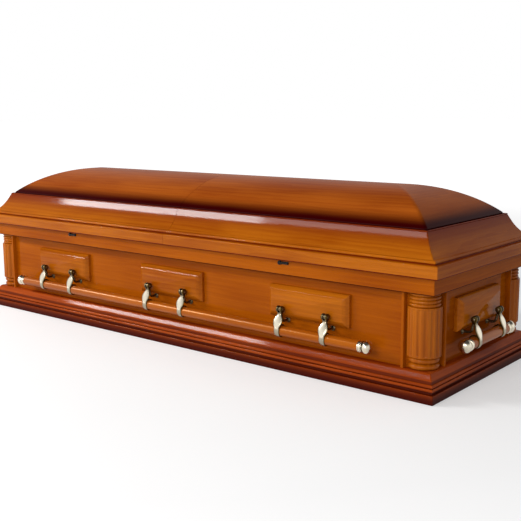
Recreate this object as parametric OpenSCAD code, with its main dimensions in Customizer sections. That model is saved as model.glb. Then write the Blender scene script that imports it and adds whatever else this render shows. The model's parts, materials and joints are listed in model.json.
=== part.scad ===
// A half-couch wooden casket.
//
// A hollow box with fluted corner columns and raised panels stands on a moulded base, under a
// hip-ended barrel lid made in two halves. A wooden bar hangs from swinging arms on each side.
//
// X runs along the length, with the foot end at +X. The front is the -Y side. Z is up, from the
// surface the casket stands on. The mouldings share one plan, the base's rectangle, and an inset
// is a distance inwards from its edge, the same on all four sides.

/* [Base] */
// Length of the base, face to face
base_l = 2100; // [1750:10:2520]
// Width of the base, face to face
base_w = 663; // [552:1:800]
// Height of the base moulding
base_h = 84; // [76:1:110]
// Height of the square plinth at its foot
plinth_h = 27; // [18:1:30]
// Width of the base moulding's timber
base_t = 75; // [66:1:90]
// Thickness of the bottom board
board_t = 18; // [12:1:24]
// Depth of the rebate that holds the bottom board's edge
rebate = 14; // [10:1:20]
// Clearance round the bottom board
board_gap = 0.5; // [0.2:0.1:2]

/* [Box] */
// Height of the walls, from the base to the upper rail
wall_h = 223; // [186:1:280]
// Thickness of the walls
wall_t = 20; // [14:1:24]
// Inset of the walls' outer faces
wall_in = 41; // [36:1:46]
// Inset of the corner posts' outer faces
post_in = 24.5; // [20:0.5:30]
// Inset of the corner posts' inner faces
post_end = 119; // [116:1:130]
// Inset of the notch in each corner post
notch_in = 110; // [104:1:113]

/* [Upper rail] */
// Height of the upper rail
rail_h = 49; // [44:1:70]
// Inset of its face
rail_in = 8; // [5:1:12]
// Radius of its rounded edges
rail_round = 4; // [2:0.5:6]

/* [Columns] */
// Radius of the column's shaft
column_r = 50; // [44:1:54]
// Inset of the column's axis
column_in = 68.6; // [66:0.1:72]
// Number of flutes round a whole shaft
flutes = 16; // [10:2:20]
// Radius of the cutter that makes a flute
flute_r = 8; // [6:0.5:9]
// Depth of a flute
flute_d = 3; // [1.5:0.5:3.5]
// Radius of the rings above and below the shaft
ring_r = 44; // [40:1:48]
// Height of one ring at the top
top_ring_h = 10.5; // [8:0.5:12]
// Number of rings at the top
top_rings = 4; // [2:1:5]
// Height of one ring at the foot
foot_ring_h = 18; // [10:0.5:20]
// Number of rings at the foot
foot_rings = 2; // [1:1:3]

/* [Raised panels] */
// Length of a panel on the long sides
panel_l = 303; // [240:1:320]
// Gap between the panel on an end and the corner posts
end_panel_gap = 74; // [50:0.5:90]
// Height of a panel
panel_h = 101; // [80:1:110]
// Thickness of a panel
panel_t = 24; // [20:1:26]
// Height of a panel's lower edge above the base moulding
panel_up = 84; // [84:1:96]
// Gap between the outer panels on a long side and the corner posts
panel_gap = 179.5; // [120:0.5:220]
// Radius of the quarter round along a panel's edge
ovolo_r = 6; // [3:0.5:8]
// Depth of the small step beside the quarter round
fillet = 2; // [1:0.5:3]

/* [Lid] */
// Overhang of the lid's fascia beyond the base
fascia_out = 9.5; // [6:0.5:14]
// Height of the fascia
fascia_h = 34; // [28:1:44]
// Height of the lid's rim
rim_h = 116; // [106:1:140]
// Inset of the rim's upper lip
lip_in = 67; // [60:1:71]
// Thickness of the rim's timber
rim_t = 18; // [14:1:24]
// Inset of the crown's foot
crown_in = 76; // [74:1:84]
// Height of the upright edge at the crown's foot
crown_foot = 9; // [6:1:14]
// Rise of the crown's arch above that edge
crown_rise = 97; // [70:1:130]
// Thickness of the crown
crown_t = 15; // [10:1:20]
// Distance of the split between the lid's halves from mid-length
split_x = 6; // [-200:1:200]
// Gap between the lid's halves
split_gap = 1.2; // [0.6:0.1:3]

/* [Handles] */
// Diameter of the wooden bars
bar_d = 34; // [28:1:41]
// Height of a bar's axis above the base moulding
bar_up = 48; // [44:1:56]
// Distance of a bar's axis beyond the base's edge
bar_out = 2; // [0:0.5:8]
// Gap between a long bar's tip and the corner post's face
bar_end_gap = 62; // [40:1:90]
// Gap between an end bar's tip and the corner post's face
end_bar_gap = 31.5; // [20:0.5:40]
// Radius of the ball at each tip
tip_r = 22; // [21:0.5:26]
// Spacing of a pair of arms on the long sides
arm_pitch = 172; // [140:1:180]
// Distance of the arms on an end from the ends of its panel
end_arm_in = 55.5; // [40:0.5:60]
// Height of the arms' pivots above the bar's axis
pivot_up = 68; // [64:1:82]
// Distance of the pivots beyond the base's edge
pivot_out = 0; // [-1:0.5:2]
// Metal round the bar in an arm's eye
eye_t = 4; // [3:0.5:5]
// Greatest width of an arm
arm_w = 26; // [22:1:30]
// Width of an arm at its neck and its foot
arm_neck = 14; // [12:1:18]
// Width of an arm's rounded head
arm_head = 19; // [17:1:22]
// Clearance of the bar in the arms' eyes
bar_gap = 0.15; // [0.1:0.05:0.4]
// Radius of the pivot pins
pin_r = 3; // [2.5:0.1:3.5]
// Running clearance round the pivot pins
pin_gap = 0.05; // [0.03:0.01:0.1]
// Width of the lug between an arm's ears
lug_w = 8; // [6:0.5:9]
// Side clearance between the lug and each ear
ear_gap = 0.4; // [0.3:0.1:0.8]
// Radius of a lug's round foot
lug_foot_r = 9; // [7:0.5:10]

/* [Catches] */
// Distance of each catch from the split between the lid's halves
catch_x = 515; // [300:1:700]
// Length of a catch
catch_l = 38; // [30:1:50]
// Height of a catch
catch_h = 13; // [10:1:18]
// Depth of a catch
catch_t = 8; // [5:0.5:10]

/* [Hidden] */
$fn = 64;
steps = 6;                                  // straight steps in a moulding's quarter or half round
half_l = base_l / 2;
half_w = base_w / 2;
rail_z = base_h + wall_h;                   // underside of the upper rail
lid_z = rail_z + rail_h;                    // top of the box, where the lid rests
crown_z = lid_z + rim_h;                    // top of the lid's rim, where the crown stands
arch_z = crown_z + crown_foot;              // springing of the crown's arch
arch_w = half_w - crown_in;                 // half-width of the arch at its springing
arch_r = (arch_w * arch_w + crown_rise * crown_rise) / (2 * crown_rise);
wall_back = wall_in + wall_t;               // inset of the walls' inner faces
crown_back = crown_in + crown_t;            // inset of the crown's inner face
post_x = half_l - post_end;                 // the corner posts' faces along a long side
post_y = half_w - post_end;                 // and along an end
end_panel_l = 2 * (post_y - end_panel_gap);
panel_pitch = post_x - panel_gap - panel_l / 2;
bar_z = base_h + bar_up;
bar_r = bar_d / 2;
eye_r = bar_r + bar_gap + eye_t;
pivot_z = bar_z + pivot_up;
boss_r = 8;                                 // radius of a lug's boss, round its pin
head_r = 9;                                 // radius of an arm's head, round the same pin
reach = 4000;                               // longer than the casket, for cutting

SIDES = ["front", "back", "head_end", "foot_end"];
THIRDS = ["head", "middle", "foot"];
CORNERS = [for (y = ["front", "back"], x = ["head", "foot"]) str(y, "_", x)];

function is_long(side) = side == "front" || side == "back";
function arm_count(side) = is_long(side) ? 6 : 2;
// these two sides are turned end for end, so places along them count the other way
function along(side) = side == "back" || side == "head_end" ? -1 : 1;
function panel_place(side, i) = along(side) * panel_pitch * (i - 1);
// a pair of arms below each panel, counted from the head end, or from the front on an end
function arm_place(side, i) = along(side) * (is_long(side)
    ? panel_pitch * (floor(i / 2) - 1) + arm_pitch * (i % 2 - 0.5)
    : (end_panel_l - 2 * end_arm_in) * (i - 0.5));

WOOD = "#a85a14";
DARK_WOOD = "#7a2c10";
CROWN_WOOD = "#8c3a10";
METAL = "#c9b98c";
BLACK = "#1c1a1a";

// ---- outlines ---------------------------------------------------------------------------------

function arc(centre, r, a0, a1, n = steps) =
    [for (i = [0:n]) let (a = a0 + (a1 - a0) * i / n) centre + r * [cos(a), sin(a)]];

function ogee(p0, p1, swell, n = 12) =
    [for (i = [0:n]) let (t = i / n) p0 + (p1 - p0) * t - [swell * sin(360 * t), 0]];

// a symmetrical cross-section, from a moulding's outline of [inset, height] points
function section(outline, half) = concat(
    [for (p = outline) [half - p[0], p[1]]],
    [for (i = [len(outline) - 1:-1:0]) [outline[i][0] - half, outline[i][1]]]);

// a solid whose plan is a rectangle at every height, drawn in by the outline, with mitred corners
module mitred(outline, half_x, half_y) {
    intersection() {
        rotate([90, 0, 0])
            linear_extrude(reach, center = true) polygon(section(outline, half_x));
        rotate([90, 0, 90])
            linear_extrude(reach, center = true) polygon(section(outline, half_y));
    }
}

// a block on the casket's plan, from one inset, between two heights
module plan_block(inset, z0, z1) {
    translate([inset - half_l, inset - half_w, z0])
        cube([base_l - 2 * inset, base_w - 2 * inset, z1 - z0]);
}

// puts a thing drawn for the front side, x along it and y inwards from the base's edge, on a side
module on_side(side) {
    if (side == "front") translate([0, -half_w, 0]) children();
    if (side == "back") translate([0, half_w, 0]) rotate([0, 0, 180]) children();
    if (side == "head_end") translate([-half_l, 0, 0]) rotate([0, 0, -90]) children();
    if (side == "foot_end") translate([half_l, 0, 0]) rotate([0, 0, 90]) children();
}

// puts a thing drawn for the front head corner, x and y inwards from it, in a corner
module in_corner(corner) {
    sx = corner == "front_foot" || corner == "back_foot" ? 1 : 0;
    sy = corner == "back_head" || corner == "back_foot" ? 1 : 0;
    mirror([0, sy, 0]) mirror([sx, 0, 0]) translate([-half_l, -half_w, 0]) children();
}

// ---- base -------------------------------------------------------------------------------------

plinth_round = 4;
lower_bead = 5.5;
upper_bead = 5.5;
nose_r = 12;
bead_in = 8.5;                              // inset of the lower bead's centre
frieze_in = 10;                             // inset of the upright face above the beads
beads_z = plinth_h + 7;                     // underside of the lower bead
frieze_z = beads_z + 2 * (lower_bead + upper_bead);

base_outline = concat(
    [[0, 0]],
    arc([plinth_round, plinth_h - plinth_round], plinth_round, 180, 90),
    [[bead_in, plinth_h]],
    arc([bead_in, beads_z + lower_bead], lower_bead, 270, 90, 2 * steps),
    arc([frieze_in, beads_z + 2 * lower_bead + upper_bead], upper_bead, 270, 90, 2 * steps),
    [[frieze_in + 1.5, (frieze_z + base_h - nose_r) / 2]],
    arc([frieze_in + nose_r, base_h - nose_r], nose_r, 180, 90));

module base_moulding() {
    color(DARK_WOOD) difference() {
        mitred(base_outline, half_l, half_w);
        plan_block(base_t, -1, base_h + 1);
        plan_block(base_t - rebate, base_h - board_t, base_h + 1);
    }
}

module bottom_board() {
    color(WOOD) plan_block(base_t - rebate + board_gap, base_h - board_t, base_h);
}

// ---- box --------------------------------------------------------------------------------------

module box_walls() {
    color(WOOD) difference() {
        union() {
            plan_block(wall_in, base_h, rail_z);
            for (c = CORNERS) in_corner(c)
                translate([post_in, post_in, base_h])
                    cube([post_end - post_in, post_end - post_in, wall_h]);
        }
        difference() {
            plan_block(wall_back, base_h - 1, rail_z + 1);
            for (c = CORNERS) in_corner(c) translate([0, 0, base_h - 1])
                cube([post_end, post_end, wall_h + 2]);
        }
        for (c = CORNERS) in_corner(c) translate([-1, -1, base_h - 1])
            cube([notch_in + 1, notch_in + 1, wall_h + 2]);
    }
}

rail_outline = concat(
    [[rail_in + rail_round, rail_z]],
    arc([rail_in + rail_round, rail_z + rail_round], rail_round, 270, 180),
    arc([rail_in + rail_round, lid_z - rail_round], rail_round, 180, 90));

module upper_rail() {
    color(WOOD) difference() {
        mitred(rail_outline, half_l, half_w);
        plan_block(wall_back, rail_z - 1, lid_z + 1);
    }
}

// ---- columns ----------------------------------------------------------------------------------

top_z = rail_z - top_rings * top_ring_h;    // top of the fluted shaft
foot_z = base_h + foot_rings * foot_ring_h; // foot of the fluted shaft

// a stack of round beads
module rings(z, h, count) {
    core_r = ring_r - h / 2;
    translate([0, 0, z]) rotate_extrude()
        polygon(concat([[0, 0]],
            [for (i = [0:count - 1], p = arc([core_r, h * (i + 0.5)], h / 2, -90, 90)) p],
            [[0, h * count]]));
}

module column(corner) {
    color(WOOD) in_corner(corner) intersection() {
        translate([column_in, column_in, 0]) {
            rings(base_h, foot_ring_h, foot_rings);
            rings(top_z, top_ring_h, top_rings);
            translate([0, 0, foot_z]) linear_extrude(top_z - foot_z) difference() {
                circle(column_r);
                for (i = [0:flutes - 1]) rotate((i + 0.5) * 360 / flutes)
                    translate([column_r + flute_r - flute_d, 0]) circle(flute_r);
            }
        }
        translate([0, 0, base_h]) cube([notch_in, notch_in, wall_h]);
    }
}

// ---- raised panels ----------------------------------------------------------------------------

panel_outline = concat(
    [[0, 0], [0, panel_t - fillet - ovolo_r], [fillet, panel_t - fillet - ovolo_r]],
    arc([fillet + ovolo_r, panel_t - fillet - ovolo_r], ovolo_r, 180, 90),
    [[fillet + ovolo_r, panel_t]]);

module panel(side, x) {
    l = is_long(side) ? panel_l : end_panel_l;
    color(WOOD) on_side(side)
        translate([x, wall_in, base_h + panel_up + panel_h / 2]) rotate([90, 0, 0])
            mitred(panel_outline, l / 2, panel_h / 2);
}

// ---- lid --------------------------------------------------------------------------------------

edge_round = 4;
quirk_in = 7;                               // inset of the groove above the fascia
quirk_h = 7;
cap_bead = 4;
cove_in = 18;                               // inset of the foot of the ogee
lip_h = 4;
cove_z = lid_z + fascia_h + quirk_h + 2 * cap_bead;
rim_back = cove_in + rim_t * 1.25;          // inset of the rim's inner face, up to the ogee

rim_outline = concat(
    arc([edge_round - fascia_out, lid_z + edge_round], edge_round, 270, 180),
    arc([edge_round - fascia_out, lid_z + fascia_h - edge_round], edge_round, 180, 90),
    [[quirk_in, lid_z + fascia_h], [quirk_in, lid_z + fascia_h + quirk_h]],
    arc([quirk_in + 1, lid_z + fascia_h + quirk_h + cap_bead], cap_bead, 270, 90),
    ogee([cove_in, cove_z], [lip_in - 1, crown_z - lip_h], 3),
    arc([lip_in + 1, crown_z - lip_h / 2], lip_h / 2, 270, 90),
    [[crown_in, crown_z]]);

rim_hollow = [
    [rim_back, lid_z - 1],
    [rim_back, cove_z - rim_t / 4],
    [crown_back, crown_z],
    [crown_back, crown_z + 1]];

// everything on one half of the lid's length
module lid_half(half) {
    x = half == "head" ? split_x - split_gap / 2 - reach : split_x + split_gap / 2;
    intersection() {
        children();
        translate([x, -reach / 2, 0]) cube([reach, reach, reach]);
    }
}

module lid_rim(half) {
    color(WOOD) lid_half(half) difference() {
        mitred(rim_outline, half_l, half_w);
        mitred(rim_hollow, half_l, half_w);
    }
}

// the crown's section across the casket, or along it with a flat stretch of that half-length
module arch(r, inset, z, flat = 0) {
    intersection() {
        union() {
            for (x = [-flat, flat]) translate([x, arch_z + crown_rise - arch_r]) circle(r);
            translate([-flat, 0]) square([2 * flat, arch_z + crown_rise - arch_r + r]);
        }
        translate([inset - half_w - flat, z]) square([2 * (half_w + flat - inset), reach]);
    }
}

module hipped_arch(r, inset, z) {
    intersection() {
        rotate([90, 0, 90]) linear_extrude(reach, center = true)
            arch(r, inset, z, 0.001);
        rotate([90, 0, 0]) linear_extrude(reach, center = true)
            arch(r, inset, z, half_l - half_w);
    }
}

module lid_crown(half) {
    color(CROWN_WOOD) lid_half(half) difference() {
        hipped_arch(arch_r, crown_in, crown_z);
        hipped_arch(arch_r - crown_t, crown_back, crown_z - 1);
    }
}

module catch(half) {
    x = split_x + (half == "head" ? -catch_x : catch_x);
    z = lid_z - catch_h - 4;
    boss = catch_h / 2;
    color(BLACK) on_side("front") translate([x, rail_in, z]) {
        // the plate, on the rail's face
        translate([-catch_l / 2, -2, 2]) cube([catch_l, 2, catch_h - 4]);
        // the round boss, and the thumb lever that it carries
        translate([boss - catch_l / 2, 0, boss]) rotate([90, 0, 0]) cylinder(catch_t, r = boss);
        translate([boss - catch_l / 2, -catch_t, boss - 2]) cube([catch_l - boss, 3, 4]);
        translate([catch_l / 2 - 2, -catch_t, boss - 4]) cube([4, catch_t - 2, 8]);
    }
}

// ---- handles ----------------------------------------------------------------------------------

collar_l = 14;                              // length of the metal collar on a bar's end
collar_r = bar_r + 1.5;

// half of a bar's outline, from its middle to the tip of its ball, [radius, distance] points;
// half is the distance to the ball's centre
function bar_outline(half) = let (
        neck_r = bar_r - 3,
        a0 = acos(neck_r / tip_r),
        neck_x = half - tip_r * sin(a0),
        collar_x = neck_x - 3 - collar_l)
    concat(
        [[0, 0], [bar_r, 0], [bar_r, collar_x]],
        arc([collar_r - 2, collar_x + 2], 2, -90, 0, 3),
        arc([collar_r - 2, collar_x + collar_l - 2], 2, 0, 90, 3),
        [[neck_r, collar_x + collar_l]],
        arc([0, half], tip_r, -a0, 80, 14),
        [[0, half + tip_r]]);

module bar(side) {
    half = (is_long(side) ? post_x - bar_end_gap : post_y - end_bar_gap) - tip_r;
    color(WOOD) on_side(side) translate([0, -bar_out, bar_z]) rotate([0, 90, 0])
        for (m = [0, 1]) mirror([0, 0, m]) rotate_extrude() polygon(bar_outline(half));
}

// the side view of an arm: a head round the pin, an eye round the bar, and a bowed blade outside
function blade_outer(t) =
    let (start = -pivot_out - 3, end = 0.5 - bar_out - eye_r)
    start + (end - start) * (1 - cos(180 * t)) / 2 - 2 * sin(180 * t);
function blade_inner(t) = blade_outer(t) + 7 + 3 * t;
function blade_z(t) = pivot_z + (bar_z - pivot_z) * t;

module arm_side() {
    translate([-pivot_out, pivot_z]) circle(head_r);
    translate([-bar_out, bar_z]) circle(eye_r);
    polygon(concat(
        [for (i = [0:10]) [blade_outer(i / 10), blade_z(i / 10)]],
        [for (i = [10:-1:0]) [blade_inner(i / 10), blade_z(i / 10)]]));
}

// the front view of an arm: a square head, and a leaf that narrows to the foot
slot_z = pivot_z - head_r;                  // bottom of the slot between the ears
neck_z = slot_z - 3;
arm_foot_z = bar_z - eye_r - 5;

// half the arm's width, at t from its neck to its foot
function leaf(t) = (arm_neck + (arm_w - arm_neck) * pow(sin(180 * pow(t, 0.8)), 1.3)) / 2;
function leaf_z(t) = neck_z + (arm_foot_z - neck_z) * t;

module arm_front() {
    n = 14;
    outline = concat(
        [[arm_head / 2, pivot_z + 2 * head_r], [arm_head / 2, neck_z + 1]],
        [for (i = [0:n]) [leaf(i / n), leaf_z(i / n)]]);
    polygon(concat(
        outline,
        [for (i = [len(outline) - 1:-1:0]) [-outline[i][0], outline[i][1]]]));
}

module arm(side, i) {
    slot_w = lug_w + 2 * ear_gap;
    color(METAL) on_side(side) translate([arm_place(side, i), 0, 0]) difference() {
        intersection() {
            rotate([90, 0, 90]) linear_extrude(2 * arm_w, center = true) arm_side();
            rotate([90, 0, 0]) linear_extrude(400, center = true) arm_front();
        }
        translate([-arm_w, -bar_out, bar_z]) rotate([0, 90, 0])
            cylinder(2 * arm_w, r = bar_r + bar_gap);
        translate([-arm_w, -pivot_out, pivot_z]) rotate([0, 90, 0])
            cylinder(2 * arm_w, r = pin_r + pin_gap);
        translate([-slot_w / 2, -pivot_out - 2 * head_r, slot_z])
            cube([slot_w, 4 * head_r, 4 * head_r]);
    }
}

// the side view of a lug: from its foot on the wall, out below the panel and up behind the arm
lug_z = base_h + panel_up - lug_foot_r - 1;

module lug_side() {
    bend = 14;                              // radius of the bend's middle line
    neck = 4.5;                             // half the neck's depth
    neck_s = 4 + neck - pivot_out;          // the upright stretch's middle line
    translate([-pivot_out, pivot_z]) circle(boss_r);
    translate([neck_s + bend, lug_z - neck]) square([wall_in - neck_s - bend, 2 * neck]);
    intersection() {
        translate([neck_s + bend, lug_z + bend]) difference() {
            circle(bend + neck);
            circle(bend - neck);
        }
        square([neck_s + bend, lug_z + bend]);
    }
    polygon([
        [neck_s - neck, lug_z + bend],
        [neck_s + neck, lug_z + bend],
        [boss_r - 1 - pivot_out, pivot_z],
        [-pivot_out, pivot_z],
        [neck_s - neck, slot_z + 2]]);
}

module lug(side, i) {
    pin_l = arm_head - 1;
    color(METAL) on_side(side) translate([arm_place(side, i), 0, 0]) {
        rotate([90, 0, 90]) linear_extrude(lug_w, center = true) lug_side();
        translate([0, wall_in, lug_z]) rotate([90, 0, 0]) cylinder(4, r = lug_foot_r);
        translate([-pin_l / 2, -pivot_out, pivot_z]) rotate([0, 90, 0]) cylinder(pin_l, r = pin_r);
    }
}

// ---- what is drawn ----------------------------------------------------------------------------

base_moulding();
bottom_board();
box_walls();
upper_rail();
for (c = CORNERS)
    column(c);
for (side = ["front", "back"], i = [0:2])
    panel(side, panel_place(side, i));
panel("head_end", 0);  // panel_head_end
panel("foot_end", 0);  // panel_foot_end
for (h = ["head", "foot"]) {
    lid_rim(h);
    lid_crown(h);
    catch(h);
}
for (side = SIDES) {
    bar(side);
    for (i = [1:arm_count(side)]) {
        arm(side, i - 1);
        lug(side, i - 1);
    }
}
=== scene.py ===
"""Builds the looks of a half-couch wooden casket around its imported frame.

Lacquered timber, turned and cast metal, and a plain studio. Shapes are worked out in millimetres
and become metres when a piece is made. An inset is a distance inwards from the base's edge.
"""

import json
from math import acos, cos, degrees, pi, radians, sin, sqrt

import bmesh
import bpy
import numpy as np
from bpy.props import FloatProperty, FloatVectorProperty, IntProperty, PointerProperty
from mathutils import Euler, Matrix, Vector


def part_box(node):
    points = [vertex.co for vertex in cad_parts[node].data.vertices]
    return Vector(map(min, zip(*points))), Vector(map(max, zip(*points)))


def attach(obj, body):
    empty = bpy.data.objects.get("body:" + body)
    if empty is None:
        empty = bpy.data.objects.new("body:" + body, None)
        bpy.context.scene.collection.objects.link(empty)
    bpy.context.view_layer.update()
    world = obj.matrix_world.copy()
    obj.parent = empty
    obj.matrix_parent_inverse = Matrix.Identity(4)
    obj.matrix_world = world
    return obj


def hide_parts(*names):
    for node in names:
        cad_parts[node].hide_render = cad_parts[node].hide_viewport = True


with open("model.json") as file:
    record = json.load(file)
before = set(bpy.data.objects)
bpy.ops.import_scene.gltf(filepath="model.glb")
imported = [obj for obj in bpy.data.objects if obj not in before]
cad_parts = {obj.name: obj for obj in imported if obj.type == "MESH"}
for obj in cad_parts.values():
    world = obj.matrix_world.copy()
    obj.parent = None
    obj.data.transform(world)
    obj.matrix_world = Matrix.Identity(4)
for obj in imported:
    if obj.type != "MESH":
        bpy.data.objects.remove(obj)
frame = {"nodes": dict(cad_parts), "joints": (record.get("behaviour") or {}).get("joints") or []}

bl_info = {
    "name": "Wooden Casket",
    "version": (1, 0, 0),
    "blender": (4, 5, 0),
    "location": "View3D > Sidebar > Casket",
    "description": "Builds a half-couch wooden casket, piece by piece, and a studio round it",
    "category": "Add Mesh",
}

MM = 0.001
SIDES = ("front", "back", "head_end", "foot_end")
LONG_SIDES = SIDES[:2]
HALVES = ("head", "foot")


def corners(node):
    """The lowest and highest corners of a node, in millimetres."""
    low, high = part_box(node)
    return low / MM, high / MM


def middle(node):
    """The middle of a node's box, in millimetres."""
    low, high = corners(node)
    return (low + high) / 2


BASE = corners("base_moulding")
RAIL = corners("upper_rail")
RIM = corners("foot_lid_rim")
CROWN = corners("foot_lid_crown")
HALF_L, HALF_W, BASE_Z = BASE[1]
RAIL_Z, LID_Z = RAIL[0].z, RAIL[1].z
CROWN_Z, APEX_Z = RIM[1].z, CROWN[1].z
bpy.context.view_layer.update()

# puts a thing drawn for a side, x along it and y inwards from the base's edge, on that side
ON_SIDE = {
    "front": Matrix.Translation((0, -HALF_W, 0)),
    "back": Matrix.Translation((0, HALF_W, 0)) @ Matrix.Rotation(pi, 4, "Z"),
    "head_end": Matrix.Translation((-HALF_L, 0, 0)) @ Matrix.Rotation(-pi / 2, 4, "Z"),
    "foot_end": Matrix.Translation((HALF_L, 0, 0)) @ Matrix.Rotation(pi / 2, 4, "Z"),
}
# turns a thing drawn round the Z axis so that it lies along a side
ALONG = Matrix.Rotation(pi / 2, 4, "Y")
# and so that it points out of a side
OUTWARD = Matrix.Rotation(pi / 2, 4, "X")


def at_corner(side, end):
    """Puts a thing drawn for the front corner at the head, x and y inwards, at a corner."""
    flip = Matrix.Diagonal((-1 if end == "foot" else 1, -1 if side == "back" else 1, 1, 1))
    return flip @ Matrix.Translation((-HALF_L, -HALF_W, 0))


def linear(code):
    """The linear colour of an sRGB hex value."""
    parts = [int(code[i : i + 2], 16) / 255 for i in (1, 3, 5)]
    return [c / 12.92 if c <= 0.04045 else ((c + 0.055) / 1.055) ** 2.4 for c in parts]


def colour_property(name, description, code):
    return FloatVectorProperty(
        name=name, description=description, subtype="COLOR", size=3, min=0, max=1,
        default=linear(code),
    )


def length_property(name, description, mm):
    return FloatProperty(
        name=name, description=description, unit="LENGTH", min=0, precision=4, default=mm * MM
    )


class CasketSizes(bpy.types.PropertyGroup):
    """Sizes of the finer shapes, which the frame leaves open"""

    mitre_ease: length_property("Mitre ease", "Rounding of the mitred corners", 1.5)
    hip_round: length_property("Hip rounding", "Rounding of the crown's hips", 9)
    flutes: IntProperty(
        name="Flutes", description="Flutes round a whole column", min=6, default=16
    )
    flute_radius: length_property("Flute radius", "Radius of the cutter of the flutes", 8)
    flute_depth: length_property("Flute depth", "Depth of the flutes", 2.2)
    leaf_crown: length_property("Leaf crown", "Bow across the face of a handle arm", 2.6)
    casting_grid: length_property("Casting grid", "Grid on which castings are formed", 0.8)


class CasketFinish(bpy.types.PropertyGroup):
    """Colours of the stains, the darkening and painted shade, and the metals"""

    stain: colour_property("Stain", "The box's orange-brown stain", "#B05A08")
    stain_deep: colour_property("Deep stain", "The darker figure in it", "#8F3F03")
    # a lighter copy of the stain, which paints the extra light on the raised panels, the columns and the
    # rim
    panel_stain: colour_property("Panel stain", "The raised panels' lighter stain", "#BC6810")
    base_stain: colour_property("Base stain", "The base's redder stain", "#AE4C14")
    base_deep: colour_property("Deep base stain", "The darker figure in it", "#7E2C06")
    crown_stain: colour_property("Crown stain", "The crown's stain", "#B25A16")
    crown_deep: colour_property("Deep crown stain", "The darker figure in it", "#8C3A08")
    # for the darkening towards set heights and for the painted shade in quirks, at joints and under the
    # rail
    glaze: colour_property("Glaze", "The dark red toner at the edges", "#340001")
    # for the rim's darkening towards the top of its cove and the painted shade in its quirks
    red_glaze: colour_property("Red glaze", "The thinner, redder toner on the lid's rim", "#6A1402")
    brass: colour_property("Brass", "The cast handle arms and tips", "#E8DEC8")
    patina: colour_property("Patina", "The brass where it was never polished", "#54431F")
    steel: colour_property("Blackened steel", "The catches", "#14100F")
    board: colour_property("Board", "The unfinished bottom board", "#B98F5C")


class CasketStage(bpy.types.PropertyGroup):
    """The studio: floor, lamps and camera"""

    floor: colour_property("Floor", "The pale floor", "#E6E6E6")
    key: FloatProperty(name="Key", description="Power of the key lamp", unit="POWER", default=142)
    fill: FloatProperty(name="Fill", description="Power of the fill lamp", unit="POWER", default=90)
    strip: FloatProperty(
        name="Strip", description="Power of the dim lamp beside the key", unit="POWER", default=15
    )
    sky: FloatProperty(name="Sky", description="Strength of the light from all round", default=0.36)
    lens: FloatProperty(name="Lens", description="Focal length", unit="CAMERA", default=59.66)


# ---- materials ----------------------------------------------------------------------------------


def add_node(tree, kind, inputs=(), **settings):
    """Adds a node. Inputs are given by name or in order: a socket is linked, another value is set."""
    node = tree.nodes.new(kind)
    for key, value in settings.items():
        setattr(node, key, value)
    for key, value in inputs.items() if isinstance(inputs, dict) else enumerate(inputs):
        if isinstance(value, bpy.types.NodeSocket):
            tree.links.new(value, node.inputs[key])
        else:
            node.inputs[key].default_value = value
    return node


def new_material(name):
    """A material with an empty Principled surface, its tree and its shader."""
    material = bpy.data.materials.new(name)
    material.use_nodes = True
    tree = material.node_tree
    return material, tree, tree.nodes["Principled BSDF"]


def rgba(colour, share=1.0):
    return (*[c * share for c in colour], 1.0)


# the sockets of a Mix node that mixes colours: by, from, to and the result
BY, FROM, TO, MIXED = 0, 6, 7, 2
# patterns in the wood, stretched along the grain: length and width in mm, detail, roughness
GRAIN = {
    "drift": (420, 60, 2.0, 0.5),
    "streaks": (260, 7, 4.0, 0.6),
    "cloud": (380, 110, 2.0, 0.5),
    "pores": (22, 1.3, 1.0, 0.5),
}


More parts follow.
